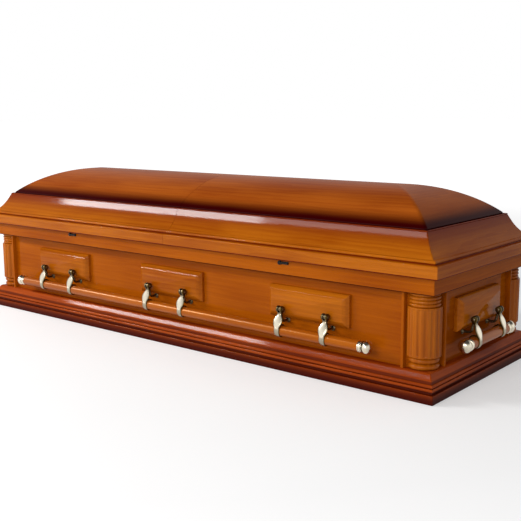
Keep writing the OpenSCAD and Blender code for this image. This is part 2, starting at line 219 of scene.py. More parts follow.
def lacquered_wood(
    name, stain, deep, glaze, darken_from=0, darken_to=0, darken_most=0.0, sealer=0.0, coat=0.24
):
    """Poplar or cherry under a dye stain and a rubbed high-gloss lacquer.

    The eye sees long soft streaks about 7 mm wide, broad flat-sawn figure, faint pores, and a
    clear coat with small waves that breaks up the edges of reflections. Between two heights, in
    mm, the colour darkens towards the dark colour, most at the first and fading out by the second:
    on the crown this is partly its shaded finish and partly painted shade at its foot. A point
    attribute paints shade into the quirks, at the lid's joint and under the rail. The sealer under
    the lacquer gives a warm, broader gloss.
    """
    material, tree, shader = new_material(name)
    place = add_node(tree, "ShaderNodeAttribute", attribute_name="grain").outputs["Vector"]
    noise = {}
    for pattern, (length, width, detail, roughness) in GRAIN.items():
        scale = (1 / (length * MM), 1 / (width * MM), 1 / (width * MM))
        stretched = add_node(tree, "ShaderNodeMapping", {"Vector": place, "Scale": scale}).outputs[0]
        noise[pattern] = add_node(
            tree, "ShaderNodeTexNoise",
            {"Vector": stretched, "Scale": 1.0, "Detail": detail, "Roughness": roughness},
        ).outputs
    bent = add_node(
        tree, "ShaderNodeVectorMath", [noise["drift"]["Color"], (0.0, 0.05, 0.05), place],
        operation="MULTIPLY_ADD",
    ).outputs[0]
    # growth rings 17 mm apart, nearly in line with the grain, as a flat-sawn board shows them
    tilted = add_node(
        tree, "ShaderNodeMapping",
        {"Vector": bent, "Location": (0, 2.2, 1.1), "Rotation": (0, 0.012, 0.02), "Scale": (18, 18, 18)},
    ).outputs[0]
    rings = add_node(
        tree, "ShaderNodeTexWave",
        {"Vector": tilted, "Scale": 1.0, "Distortion": 1.2, "Detail": 2.0, "Detail Scale": 1.5},
        wave_type="RINGS", rings_direction="X", wave_profile="SAW",
    ).outputs["Fac"]
    # what each pattern gives: its range, and the least and the most that it adds
    given = {}
    for label, *ranges in (
        ("rings", rings, 0, 1, 0.0, 0.18),
        ("streaks", noise["streaks"]["Fac"], 0.3, 0.7, 0.0, 0.28),
        ("cloud", noise["cloud"]["Fac"], 0.3, 0.7, 0.0, 0.5),
        ("pores", noise["pores"]["Fac"], 0.62, 0.8, 0.0, 0.25),
        ("roughness", noise["streaks"]["Fac"], 0.3, 0.7, 0.27, 0.36),
    ):
        given[label] = add_node(
            tree, "ShaderNodeMapRange", ranges, interpolation_type="SMOOTHSTEP"
        ).outputs[0]
    figure = add_node(tree, "ShaderNodeMath", [given["rings"], given["streaks"]], operation="ADD")
    figure = add_node(tree, "ShaderNodeMath", [figure.outputs[0], given["cloud"]], operation="ADD")
    wood = add_node(
        tree, "ShaderNodeMix", {BY: figure.outputs[0], FROM: rgba(stain), TO: rgba(deep)},
        data_type="RGBA", clamp_factor=True,
    )
    pored = add_node(
        tree, "ShaderNodeMix", {BY: given["pores"], FROM: wood.outputs[MIXED], TO: rgba(deep, 0.4)},
        data_type="RGBA",
    )
    # painted shade: a point attribute darkens the quirks, the lid's joint and the rail's lower edge
    toner = add_node(tree, "ShaderNodeAttribute", attribute_name="toner").outputs["Fac"]
    thing = add_node(tree, "ShaderNodeTexCoord").outputs["Object"]
    # darker towards given heights; on the crown this is partly its shaded finish and partly painted
    # shade at its foot
    if darken_most:
        height = add_node(tree, "ShaderNodeSeparateXYZ", [thing]).outputs["Z"]
        wander = (darken_to - darken_from) * MM * 0.35
        uneven = add_node(
            tree, "ShaderNodeMath", [noise["cloud"]["Fac"], wander, height], operation="MULTIPLY_ADD"
        ).outputs[0]
        darkened = add_node(
            tree, "ShaderNodeMapRange", [uneven, darken_from * MM, darken_to * MM, darken_most, 0.0],
            interpolation_type="SMOOTHSTEP",
        ).outputs[0]
        toner = add_node(tree, "ShaderNodeMath", [darkened, toner], operation="MAXIMUM").outputs[0]
    toned = add_node(
        tree, "ShaderNodeMix", {BY: toner, FROM: pored.outputs[MIXED], TO: rgba(glaze)}, data_type="RGBA"
    )
    tree.links.new(toned.outputs[MIXED], shader.inputs["Base Color"])
    tree.links.new(given["roughness"], shader.inputs["Roughness"])
    # waves 14 mm long left in the lacquer by the spray gun
    wave = add_node(tree, "ShaderNodeTexNoise", {"Vector": thing, "Scale": 70.0, "Detail": 1.0})
    for normal, height, deep_m in (
        ("Coat Normal", wave.outputs["Fac"], 0.0003), ("Normal", noise["pores"]["Fac"], 0.0002)
    ):
        bump = add_node(tree, "ShaderNodeBump", {"Height": height, "Strength": 0.15, "Distance": deep_m})
        tree.links.new(bump.outputs[0], shader.inputs[normal])
    shader.inputs["Specular IOR Level"].default_value = sealer
    shader.inputs["Specular Tint"].default_value = rgba(linear("#FFB040"))
    shader.inputs["Coat Weight"].default_value = coat
    shader.inputs["Coat Roughness"].default_value = 0.07
    shader.inputs["Coat IOR"].default_value = 1.35
    return material


def antique_brass(name, brass, patina):
    """Zinc casting, bronze plated, relieved on a buffing wheel and clear coated.

    The eye sees a pale champagne metal, bright where it was buffed, brown where the wheel couldn't
    reach, with fine mottling from the casting.
    """
    material, tree, shader = new_material(name)
    place = add_node(tree, "ShaderNodeTexCoord").outputs["Object"]
    relief = add_node(tree, "ShaderNodeAttribute", attribute_name="patina").outputs["Fac"]
    mottle = add_node(tree, "ShaderNodeTexNoise", {"Vector": place, "Scale": 160.0, "Detail": 3.0})
    tone = add_node(
        tree, "ShaderNodeMath", [mottle.outputs["Fac"], 0.25, relief], operation="MULTIPLY_ADD"
    ).outputs[0]
    edge = add_node(tree, "ShaderNodeMapRange", [tone, 0.15, 1.0, 0.0, 1.0])
    colour = add_node(
        tree, "ShaderNodeMix", {BY: edge.outputs[0], FROM: rgba(brass), TO: rgba(patina)},
        data_type="RGBA",
    )
    rough = add_node(tree, "ShaderNodeMapRange", [tone, 0.1, 1.0, 0.11, 0.4])
    cast = add_node(tree, "ShaderNodeTexNoise", {"Vector": place, "Scale": 240.0, "Detail": 2.0})
    bump = add_node(
        tree, "ShaderNodeBump", {"Height": cast.outputs["Fac"], "Strength": 0.2, "Distance": 0.0002}
    )
    tree.links.new(colour.outputs[MIXED], shader.inputs["Base Color"])
    tree.links.new(rough.outputs[0], shader.inputs["Roughness"])
    tree.links.new(bump.outputs[0], shader.inputs["Normal"])
    shader.inputs["Metallic"].default_value = 1.0
    return material


def blackened_steel(name, steel):
    """Pressed steel, blackened and oiled: dark, with a soft sheen and faint grey rubbed spots."""
    material, tree, shader = new_material(name)
    place = add_node(tree, "ShaderNodeTexCoord").outputs["Object"]
    rub = add_node(tree, "ShaderNodeTexNoise", {"Vector": place, "Scale": 300.0, "Detail": 3.0})
    spots = add_node(tree, "ShaderNodeMapRange", [rub.outputs["Fac"], 0.58, 0.8, 0.0, 0.5])
    colour = add_node(
        tree, "ShaderNodeMix", {BY: spots.outputs[0], FROM: rgba(steel), TO: rgba(linear("#4A4644"))},
        data_type="RGBA",
    )
    rough = add_node(tree, "ShaderNodeMapRange", [rub.outputs["Fac"], 0.0, 1.0, 0.28, 0.5])
    tree.links.new(colour.outputs[MIXED], shader.inputs["Base Color"])
    tree.links.new(rough.outputs[0], shader.inputs["Roughness"])
    shader.inputs["Metallic"].default_value = 0.6
    return material


def plain_board(name, board):
    """Unfinished pine board: matt, with pale streaks about 9 mm wide along the casket."""
    material, tree, shader = new_material(name)
    place = add_node(tree, "ShaderNodeTexCoord").outputs["Object"]
    grain = add_node(tree, "ShaderNodeMapping", {"Vector": place, "Scale": (3, 110, 110)}).outputs[0]
    noise = add_node(tree, "ShaderNodeTexNoise", {"Vector": grain, "Scale": 1.0, "Detail": 4.0})
    streaks = noise.outputs["Fac"]
    colour = add_node(
        tree, "ShaderNodeMix", {BY: streaks, FROM: rgba(board, 1.15), TO: rgba(board, 0.62)},
        data_type="RGBA",
    )
    bump = add_node(tree, "ShaderNodeBump", {"Height": streaks, "Strength": 0.3, "Distance": 0.0004})
    tree.links.new(colour.outputs[MIXED], shader.inputs["Base Color"])
    tree.links.new(bump.outputs[0], shader.inputs["Normal"])
    shader.inputs["Roughness"].default_value = 0.75
    return material


# how each finish is made: its maker, its colours in CasketFinish, and what else is set
FINISHES = {
    "lacquered wood, box": (lacquered_wood, "stain stain_deep glaze", {"coat": 0.17}),
    # the raised panels, the columns and the rim take the lighter stain, which paints the extra light
    # they catch
    "lacquered wood, panel": (lacquered_wood, "panel_stain stain_deep glaze", {"coat": 0.3}),
    "lacquered wood, turned": (lacquered_wood, "panel_stain stain_deep glaze", {"coat": 0.4}),
    "lacquered wood, bar": (lacquered_wood, "stain stain_deep glaze", {"sealer": 0.6, "coat": 0.12}),
    # the rim darkens and reddens towards the top of its cove, and has painted shade in its quirks
    "lacquered wood, rim": (
        lacquered_wood, "panel_stain stain_deep red_glaze",
        {"darken_from": CROWN_Z - 5, "darken_to": CROWN_Z - 76, "darken_most": 0.85, "coat": 0.28},
    ),
    # the base darkens towards its bottom
    "lacquered wood, base": (
        lacquered_wood, "base_stain base_deep glaze",
        {"darken_from": 14, "darken_to": 50, "darken_most": 0.92},
    ),
    # the crown darkens towards its foot: partly its shaded finish, partly painted shade
    "lacquered wood, crown": (
        lacquered_wood, "crown_stain crown_deep glaze",
        {"darken_from": CROWN_Z + 20, "darken_to": CROWN_Z + 56, "darken_most": 1.0, "coat": 0.2},
    ),
    "antique brass": (antique_brass, "brass patina", {}),
    "blackened steel": (blackened_steel, "steel", {}),
    "plain board": (plain_board, "board", {}),
}


def finish(name):
    """The material of that name, made the first time it is asked for."""
    if name in bpy.data.materials:
        return bpy.data.materials[name]
    make, colours, settings = FINISHES[name]
    look = bpy.context.scene.casket_finish
    return make(name, *[list(getattr(look, colour)) for colour in colours.split()], **settings)


# ---- mesh making --------------------------------------------------------------------------------


def arc(centre, radius, start, end, steps=8):
    """Points on an arc, from one angle to another in degrees."""
    return [
        (centre[0] + radius * cos(radians(a)), centre[1] + radius * sin(radians(a)))
        for a in np.linspace(start, end, steps + 1)
    ]


def held(points, closed=True, least=3.0, edge=0.5):
    """The outline with a point close to each end of its long flats, so that they are shaded flat."""
    out = []
    for i, p in enumerate(points):
        q = points[(i + 1) % len(points)]
        out.append(p)
        span = sqrt((q[0] - p[0]) ** 2 + (q[1] - p[1]) ** 2)
        if span > least and (closed or i + 1 < len(points)):
            for t in (edge / span, 1 - edge / span):
                out.append((p[0] + (q[0] - p[0]) * t, p[1] + (q[1] - p[1]) * t))
    return out


def plan(half_x, half_y, ease, steps=4, support=2.0):
    """A rectangle with rounded corners, anticlockwise, with a point just clear of each rounding."""
    r = max(0.0, min(ease, half_x, half_y))
    s = max(0.0, min(support, half_x - r, half_y - r))
    points = []
    for sx, sy, start in ((-1, -1, 180), (1, -1, 270), (1, 1, 0), (-1, 1, 90)):
        turn = arc((sx * (half_x - r), sy * (half_y - r)), r, start, start + 90, steps)
        a0, a1 = radians(start), radians(start + 90)
        points.append((turn[0][0] + s * sin(a0), turn[0][1] - s * cos(a0)))
        points.extend(turn)
        points.append((turn[-1][0] - s * sin(a1), turn[-1][1] + s * cos(a1)))
    return points


def ring_of(bm, points, place=Matrix()):
    """New vertices at points that are put in their place."""
    return [bm.verts.new(place @ Vector(point)) for point in points]


def join_rings(bm, rings, closed=False, caps=True):
    """Faces between each ring of vertices and the next, and over the open ends."""
    for low, high in zip(rings, rings[1:] + rings[:1] if closed else rings[1:]):
        for i in range(len(low)):
            j = (i + 1) % len(low)
            bm.faces.new((low[i], low[j], high[j], high[i]))
    if caps and not closed:
        bm.faces.new(rings[0])
        bm.faces.new(rings[-1])


def sweep(bm, half_x, half_y, outline, ease, closed=True, caps=False):
    """Carries an outline of (inset, height) points round a rectangle, with mitred corners."""
    rings = [
        ring_of(bm, [(x, y, height) for x, y in plan(half_x - inset, half_y - inset, ease)])
        for inset, height in outline
    ]
    join_rings(bm, rings, closed, caps)


def turned(bm, profile, place, steps=40):
    """Turns a profile of (radius, height) points round the Z axis, and puts it in its place."""
    angles = [2 * pi * i / steps for i in range(steps)]
    join_rings(bm, [
        ring_of(bm, [(radius * cos(a), radius * sin(a), height) for a in angles], place)
        for radius, height in profile
    ])


def block(bm, low, high, place, ease=0.4):
    """A block between two corners, with eased edges."""
    size = Vector(high) - Vector(low)
    made = bmesh.ops.create_cube(
        bm, size=1, matrix=place @ Matrix.Translation((Vector(low) + Vector(high)) / 2)
        @ Matrix.Diagonal((*size, 1)),
    )
    edges = list(dict.fromkeys(e for v in made["verts"] for e in v.link_edges))
    bmesh.ops.bevel(bm, geom=edges, offset=ease, segments=2, affect="EDGES", profile=0.5)


def prism(bm, outline, low, high, place, ease=1.0):
    """An upright prism on a plan outline, its upright edges eased."""
    bottom, top = (ring_of(bm, [(x, y, z) for x, y in outline], place) for z in (low, high))
    join_rings(bm, [bottom, top])
    upright = [e for a, b in zip(bottom, top) for e in a.link_edges if e.other_vert(a) is b]
    bmesh.ops.bevel(bm, geom=upright, offset=ease, segments=2, affect="EDGES", profile=0.5)


def cut(bm, point, normal):
    """Takes off what lies beyond a plane, and closes the cut."""
    geometry = bm.verts[:] + bm.edges[:] + bm.faces[:]
    made = bmesh.ops.bisect_plane(
        bm, geom=geometry, dist=0.0005, plane_co=point, plane_no=normal, clear_outer=True
    )
    edges = [e for e in made["geom_cut"] if isinstance(e, bmesh.types.BMEdge) and e.is_boundary]
    bmesh.ops.holes_fill(bm, edges=edges, sides=0)


def piece_from(bm, name, material, sharp=32):
    """Makes a piece of a bmesh in millimetres: seams closed, faces outward, smooth but for edges."""
    bmesh.ops.remove_doubles(bm, verts=bm.verts, dist=0.01)
    bmesh.ops.dissolve_degenerate(bm, edges=bm.edges, dist=0.005)
    bmesh.ops.recalc_face_normals(bm, faces=bm.faces)
    bmesh.ops.scale(bm, vec=(MM, MM, MM), verts=bm.verts)
    mesh = bpy.data.meshes.new(name)
    bm.to_mesh(mesh)
    bm.free()
    piece = bpy.data.objects.new(name, mesh)
    bpy.context.scene.collection.objects.link(piece)
    mesh.materials.append(material)
    smooth(mesh, sharp)
    return piece


def smooth(mesh, sharp):
    mesh.shade_smooth()
    mesh.set_sharp_from_angle(angle=radians(sharp))


def reopened(piece):
    """A bmesh, in millimetres, of a piece that was made before."""
    bm = bmesh.new()
    bm.from_mesh(piece.data)
    bmesh.ops.scale(bm, vec=(1 / MM,) * 3, verts=bm.verts)
    return bm


def settle(piece):
    """Keeps what the piece's modifiers make as its plain mesh."""
    graph = bpy.context.evaluated_depsgraph_get()
    mesh = bpy.data.meshes.new_from_object(piece.evaluated_get(graph), depsgraph=graph)
    piece.modifiers.clear()
    piece.data = mesh


TIMBER_STEP = (1.3, 0.37, 0.71)             # from one timber's stretch to the next, in metres


def lay_grain(piece, timber, axis=None):
    """Stores each face corner's place in its timber, in metres, the first number along the grain.

    The timber's number picks its own stretch of the wood's pattern. Without an axis the lengths
    are mitred: the grain follows the nearest side of the casket.
    """
    mesh = piece.data
    centres = np.zeros(len(mesh.polygons) * 3)
    mesh.polygons.foreach_get("center", centres)
    centres = centres.reshape(-1, 3)
    if axis is None:
        to_side = HALF_W * MM - np.abs(centres[:, 1])
        to_end = HALF_L * MM - np.abs(centres[:, 0])
        axes = np.where(to_side <= to_end, 0, 1)
    else:
        axes = np.full(len(centres), axis)
    totals = np.zeros(len(mesh.polygons), int)
    mesh.polygons.foreach_get("loop_total", totals)
    points = np.zeros(len(mesh.vertices) * 3)
    mesh.vertices.foreach_get("co", points)
    index = np.zeros(len(mesh.loops), int)
    mesh.loops.foreach_get("vertex_index", index)
    points = points.reshape(-1, 3)[index]
    order = np.array([(0, 1, 2), (1, 0, 2), (2, 0, 1)])[np.repeat(axes, totals)]
    placed = np.take_along_axis(points, order, 1) + np.array(TIMBER_STEP) * timber
    grain = mesh.attributes.new("grain", "FLOAT_VECTOR", "CORNER")
    grain.data.foreach_set("vector", placed.astype(np.float32).ravel())


def lay_tone(piece, name, measure):
    """Stores an attribute from 0 to 1 at each point: patina on metal, or painted shade on wood."""
    mesh = piece.data
    values = [min(1.0, max(0.0, measure(v.co / MM))) for v in mesh.vertices]
    tone = mesh.attributes.new(name, "FLOAT", "POINT")
    tone.data.foreach_set("value", values)


def quirk_shade(*bands):
    """Painted shade in a moulding's quirks: the bands are (low, high, share) heights."""
    return lambda point: max((s for a, b, s in bands if a <= point.z <= b), default=0)


def stands_for(piece, body, slot, *nodes):
    """Ties a finished piece to its body, and hides the nodes it is shown for. The slot is not used."""
    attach(piece, body)
    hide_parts(*nodes)


# ---- node trees ---------------------------------------------------------------------------------

SEAM = 0.02                                 # how near points lie that are one, where copies meet


def new_tree(name, inputs):
    """A geometry tree with named inputs, its entry and its exit."""
    tree = bpy.data.node_groups.new(name, "GeometryNodeTree")
    for label, kind in [("Piece", "Geometry"), *inputs, ("Material", "Material")]:
        tree.interface.new_socket(label, in_out="INPUT", socket_type="NodeSocket" + kind)
    tree.interface.new_socket("Result", in_out="OUTPUT", socket_type="NodeSocketGeometry")
    return tree, add_node(tree, "NodeGroupInput").outputs, add_node(tree, "NodeGroupOutput")


def close_tree(tree, entry, exit_node, instances, merge=False):
    """Ends a tree: the instances become real, and the material is set."""
    real = add_node(tree, "GeometryNodeRealizeInstances", {0: instances}).outputs[0]
    if merge:
        merged = add_node(
            tree, "GeometryNodeMergeByDistance", {"Geometry": real, "Distance": SEAM * MM}
        )
        real = merged.outputs[0]
    painted = add_node(
        tree, "GeometryNodeSetMaterial", {"Geometry": real, "Material": entry["Material"]}
    )
    tree.links.new(painted.outputs[0], exit_node.inputs[0])


def rows_tree():
    """Repeats a piece in groups along a side: pieces one step apart, and groups of them."""
    if "rows along a side" in bpy.data.node_groups:
        return bpy.data.node_groups["rows along a side"]
    tree, entry, exit_node = new_tree(
        "rows along a side",
        [("In group", "Int"), ("Step", "Vector"), ("Groups", "Int"), ("Group step", "Vector")],
    )
    rows = entry["Piece"]
    for count, step in (("In group", "Step"), ("Groups", "Group step")):
        line = add_node(tree, "GeometryNodeMeshLine", {"Count": entry[count], "Offset": entry[step]})
        rows = add_node(
            tree, "GeometryNodeInstanceOnPoints", {"Points": line.outputs[0], "Instance": rows}
        ).outputs[0]
    close_tree(tree, entry, exit_node, rows)
    return tree


def flutes_tree():
    """Repeats one flute and its land round the Z axis, to make a whole shaft."""
    if "flutes round a shaft" in bpy.data.node_groups:
        return bpy.data.node_groups["flutes round a shaft"]
    tree, entry, exit_node = new_tree("flutes round a shaft", [("Flutes", "Int")])
    points = add_node(tree, "GeometryNodePoints", {"Count": entry["Flutes"]})
    step = add_node(tree, "ShaderNodeMath", [2 * pi, entry["Flutes"]], operation="DIVIDE")
    index = add_node(tree, "GeometryNodeInputIndex")
    turn = add_node(
        tree, "ShaderNodeMath", [index.outputs[0], step.outputs[0]], operation="MULTIPLY"
    )
    turns = add_node(tree, "ShaderNodeCombineXYZ", {2: turn.outputs[0]})
    ring = add_node(
        tree, "GeometryNodeInstanceOnPoints",
        {"Points": points.outputs[0], "Instance": entry["Piece"], "Rotation": turns.outputs[0]},
    )
    close_tree(tree, entry, exit_node, ring.outputs[0], merge=True)
    return tree


def grow(piece, tree, **values):
    """Runs a tree on a piece, and keeps the result as its plain mesh."""
    modifier = piece.modifiers.new("grow", "NODES")
    modifier.node_group = tree
    values["Material"] = piece.data.materials[0]
    for item in tree.interface.items_tree:
        label = item.name.replace(" ", "_")
        if item.in_out == "INPUT" and label in values:
            modifier[item.identifier] = values[label]
    settle(piece)


def grow_row(piece, nodes, in_group):
    """Repeats a piece over a side's nodes, which stand in groups of so many, one step apart."""
    here = middle(nodes[0])
    groups = len(nodes) // in_group
    step = (middle(nodes[1]) - here) * MM
    group_step = (middle(nodes[in_group]) - here) * MM if groups > 1 else Vector()
    grow(piece, rows_tree(), In_group=in_group, Step=step, Groups=groups, Group_step=group_step)


# ---- base, box and rail -------------------------------------------------------------------------

BASE_T, REBATE_IN, BOARD_T = 75, 61, 18     # the base's timber, and the rebate for the board
PLINTH_H, FRIEZE_Z = 27, BASE_Z - 21        # the tops of the plinth and of the sloped frieze
BEADS_Z, BEAD_R = 34, 5.5                   # the foot of the two beads, and their radius
NOSE_LEAN = 34                              # degrees by which the face of the nose leans back
WALL_IN, WALL_BACK = 41, 61                 # insets of the walls' faces
POST_IN, POST_END, NOTCH_IN = 24.5, 119, 110
EDGE_R = 2.5                                # rounding of the rail's and the fascia's edges
QUIRK = EDGE_R + 0.2                        # how far the painted shade reaches beside such an edge


def base_outline():
    """Plinth, two beads, a sloped frieze and a rounded nose, then the hidden inner faces."""
    return held(
        [(BASE_T, 0), (0.8, 0), (0, 0.8)]
        + arc((4, PLINTH_H - 4), 4, 180, 90)
        + [(8.5, PLINTH_H), (8.5, BEADS_Z)]
        + arc((8.5, BEADS_Z + BEAD_R), BEAD_R, 270, 90, 14)
        + arc((10, BEADS_Z + 3 * BEAD_R), BEAD_R, 270, 90, 14)[1:]
        + [(11.5, FRIEZE_Z)]
        + arc((20, FRIEZE_Z), 10, 180, 180 - NOSE_LEAN, 5)
        + arc((27.2, BASE_Z - 10.6), 10.6, 180 - NOSE_LEAN, 90, 8)
        + [(REBATE_IN, BASE_Z), (REBATE_IN, BASE_Z - BOARD_T), (BASE_T, BASE_Z - BOARD_T)]
    )


def base_quirk_shade():
    """Painted shade above the plinth, between and above the beads, and in the quirk under the nose."""
    between, above = BEADS_Z + 2 * BEAD_R, BEADS_Z + 4 * BEAD_R
    return quirk_shade(
        (PLINTH_H - 0.5, BEADS_Z + 0.6, 0.85), (between - 0.6, between + 0.6, 0.9),
        (above - 0.2, above + 1, 0.7), (FRIEZE_Z - 1, FRIEZE_Z + 1.2, 0.5),
    )


def rail_outline():
    """A flat face between two rounded edges."""
    face, r = HALF_W - RAIL[1].y, EDGE_R
    return held(
        arc((face + r, RAIL_Z + r), r, 270, 180)
        + arc((face + r, LID_Z - r), r, 180, 90)
        + [(WALL_BACK, LID_Z), (WALL_BACK, RAIL_Z)]
    )


class CASKET_OT_base(bpy.types.Operator):
    """Builds the mitred base moulding, and finishes the bottom board"""

    bl_idname = "casket.base"
    bl_label = "Base"

    def execute(self, context):
        ease = context.scene.casket_sizes.mitre_ease / MM
        bm = bmesh.new()
        sweep(bm, HALF_L, HALF_W, base_outline(), ease)
        piece = piece_from(bm, "base_moulding_timber", finish("lacquered wood, base"))
        lay_grain(piece, 1)
        # painted shade in the base's quirks
        lay_tone(piece, "toner", base_quirk_shade())
        stands_for(piece, "casket", "dark_stained_wood", "base_moulding")
        board = frame["nodes"]["bottom_board"]
        board.data.materials.clear()
        board.data.materials.append(finish("plain board"))
        return {"FINISHED"}


class CASKET_OT_box(bpy.types.Operator):
    """Builds the box's walls, its notched corner posts and the rail on top"""

    bl_idname = "casket.box"
    bl_label = "Box"

    def execute(self, context):
        ease = context.scene.casket_sizes.mitre_ease / MM
        wood = finish("lacquered wood, box")
        bm = bmesh.new()
        wall = [(WALL_IN, BASE_Z), (WALL_IN, RAIL_Z), (WALL_BACK, RAIL_Z), (WALL_BACK, BASE_Z)]
        sweep(bm, HALF_L, HALF_W, held(wall), 0.5)
        walls = piece_from(bm, "box_wall_boards", wood)
        lay_grain(walls, 2)
        stands_for(walls, "casket", "stained_wood", "box_walls")

        bm = bmesh.new()
        outline = [
            (NOTCH_IN, POST_IN), (POST_END, POST_IN), (POST_END, POST_END),
            (POST_IN, POST_END), (POST_IN, NOTCH_IN), (NOTCH_IN, NOTCH_IN),
        ]
        for end in HALVES:
            for side in LONG_SIDES:
                prism(bm, outline, BASE_Z, RAIL_Z, at_corner(side, end))
        posts = piece_from(bm, "corner_posts", wood)
        lay_grain(posts, 3, axis=2)
        stands_for(posts, "casket", "stained_wood", "box_walls")

        bm = bmesh.new()
        sweep(bm, HALF_L, HALF_W, rail_outline(), ease)
        rail = piece_from(bm, "upper_rail_timber", wood)
        lay_grain(rail, 4)
        # painted shade along the rail's lower edge, under its overhang, and at its joint with the lid
        edges = (RAIL_Z, RAIL_Z + QUIRK, 0.9), (LID_Z - QUIRK, LID_Z, 1.0)
        lay_tone(rail, "toner", quirk_shade(*edges))
        stands_for(rail, "casket", "stained_wood", "upper_rail")
        return {"FINISHED"}


# ---- columns ------------------------------------------------------------------------------------

COLUMN_R, COLUMN_IN, RING_R = 50, 68.6, 46
TOP_RING, TOP_RINGS, FOOT_RING, FOOT_RINGS = 10.5, 4, 18, 2
RING_QUIRK = 0.35                           # half the fine quirk between two rings
SHAFT_ROUND = 2.2                           # rounding of the shaft's ends
FLUTE_STOP = 9                              # from the shaft's end to the cutter's last place


def ring_stack(low, height, count):
    """The profile of a stack of half-round rings, with a fine quirk between them."""
    core = RING_R - height / 2
    within = core - 8                       # the ends of the stack, hidden inside it
    profile = [(within, low)]
    for i in range(count):
        profile += arc((core, low + height * (i + 0.5)), height / 2 - RING_QUIRK, -90, 90, 12)
    return profile + [(within, low + height * count)]


def flute_sector(bm, low, high, flutes, radius, depth):
    """One flute between two half lands, with round ends, and its wedge of the shaft's two ends."""
    half = pi / flutes
    centre = COLUMN_R + radius - depth
    ends = [0, 0.4, 1.1, SHAFT_ROUND] + list(np.linspace(3.0, FLUTE_STOP, 9))
    heights = [low + e for e in ends] + [high - e for e in reversed(ends)]
    angles = list(np.linspace(-half, half, 17))
    rings = []
    for z in heights:
        beyond = max(0.0, low + FLUTE_STOP - z, z - (high - FLUTE_STOP))
        off = max(0.0, SHAFT_ROUND - min(z - low, high - z))
        ease = SHAFT_ROUND - sqrt(SHAFT_ROUND**2 - off**2)
        ring = []
        for a in angles:
            under = radius**2 - (centre * sin(a)) ** 2 - beyond**2
            deep = COLUMN_R - centre * cos(a) + (sqrt(under) if under > 0 else 0.3 * under)
            # a hyperbola eases the flute's edge into the land
            r = COLUMN_R - (deep + sqrt(deep**2 + 0.6)) / 2 - ease
            ring.append(bm.verts.new((r * cos(a), r * sin(a), z)))
        rings.append(ring)
    for below, above in zip(rings, rings[1:]):
        for i in range(len(angles) - 1):
            bm.faces.new((below[i], below[i + 1], above[i + 1], above[i]))
    for ring, z in ((rings[0], low), (rings[-1], high)):
        bm.faces.new([bm.verts.new((0, 0, z)), *ring])


class CASKET_OT_columns(bpy.types.Operator):
    """Builds the four fluted corner columns, each set in the notch of its post"""

    bl_idname = "casket.columns"
    bl_label = "Columns"

    def execute(self, context):
        sizes = context.scene.casket_sizes
        wood = finish("lacquered wood, turned")
        low = BASE_Z + FOOT_RING * FOOT_RINGS
        high = RAIL_Z - TOP_RING * TOP_RINGS
        bm = bmesh.new()
        flute_sector(bm, low, high, sizes.flutes, sizes.flute_radius / MM, sizes.flute_depth / MM)
        shaft = piece_from(bm, "column_shaft", wood)
        grow(shaft, flutes_tree(), Flutes=sizes.flutes)
        corner_names = [(side, end) for side in LONG_SIDES for end in HALVES]
        for number, (side, end) in enumerate(corner_names):
            bm = reopened(shaft)
            bmesh.ops.rotate(bm, matrix=Matrix.Rotation(pi / sizes.flutes, 3, "Z"), verts=bm.verts)
            for stack in ((BASE_Z, FOOT_RING, FOOT_RINGS), (high, TOP_RING, TOP_RINGS)):
                turned(bm, ring_stack(*stack), Matrix(), 64)
            bmesh.ops.translate(bm, vec=(COLUMN_IN, COLUMN_IN, 0), verts=bm.verts)
            seat = NOTCH_IN - 0.05              # just clear of the notch's faces
            cut(bm, (seat, 0, 0), (1, 0, 0))
            cut(bm, (0, seat, 0), (0, 1, 0))
            bm.transform(at_corner(side, end))
            node = f"column_{side}_{end}"
            column = piece_from(bm, node + "_turned", wood, sharp=40)
            lay_grain(column, 5 + number, axis=2)
            stands_for(column, "casket", "stained_wood", node)
        bpy.data.objects.remove(shaft)
        return {"FINISHED"}


# ---- raised panels ------------------------------------------------------------------------------


def panel_outline(thick):
    """A panel's edge, from the wall out: a straight edge, a bevel, its eased rim and a fine step."""
    slope, lean = 8, 46                     # the bevel's flat, and the degrees it leans back by
    r, last = 26, 18                        # its easing's radius and last lean
    step = 0.6                              # height of the fine step round the raised field
    across = 0.3 + slope * cos(radians(lean)) + r * sin(radians(lean))
    ease = arc((across, thick - step - r * cos(radians(last))), r, 90 + lean, 90 + last, 10)
    wide, foot = ease[-1][0], ease[0][1] - slope * sin(radians(lean))
    edge = [(0, 0.2), (0, foot - 0.3), (0.3, foot)]
    rim = [(wide + 0.3, thick - 0.2), (wide + 0.7, thick)]
    return held(edge + ease + rim, closed=False)


class CASKET_OT_panels(bpy.types.Operator):
    """Builds the raised panels, three on each long side and one on each end"""

    bl_idname = "casket.panels"
    bl_label = "Raised panels"

    def execute(self, context):
        for number, side in enumerate(SIDES):
            is_long = side in LONG_SIDES
            thirds = ("head", "middle", "foot")
            nodes = [f"panel_{side}_{third}" for third in thirds] if is_long else [f"panel_{side}"]
            low, high = corners(nodes[0])
            size, centre = high - low, middle(nodes[0])
            length, thick = (size.x, size.y) if is_long else (size.y, size.x)
            bm = bmesh.new()
            sweep(bm, length / 2, size.z / 2, panel_outline(thick), 0.8, closed=False, caps=True)
            along = (ON_SIDE[side].inverted() @ centre).x
            bm.transform(ON_SIDE[side] @ Matrix.Translation((along, WALL_IN, centre.z)) @ OUTWARD)
            panel = piece_from(bm, f"raised_panels_{side}", finish("lacquered wood, panel"))
            if is_long:
                grow_row(panel, nodes, len(nodes))
            lay_grain(panel, 10 + number, axis=0 if is_long else 1)
            stands_for(panel, "casket", "stained_wood", *nodes)
        return {"FINISHED"}


# ---- lid ----------------------------------------------------------------------------------------

RIM_BACK, RIM_TOP = 40.5, 91                # insets of the rim's inner face and of its top's inner edge
COVE_RISE = 67                              # from the foot of the rim's cove to the crown's foot
CROWN_T, ARCH_STEPS = 15, 44                # the crown's thickness, and the steps in half its arch
FASCIA_TOP, BEAD_TOP = LID_Z + 36.5, LID_Z + 49


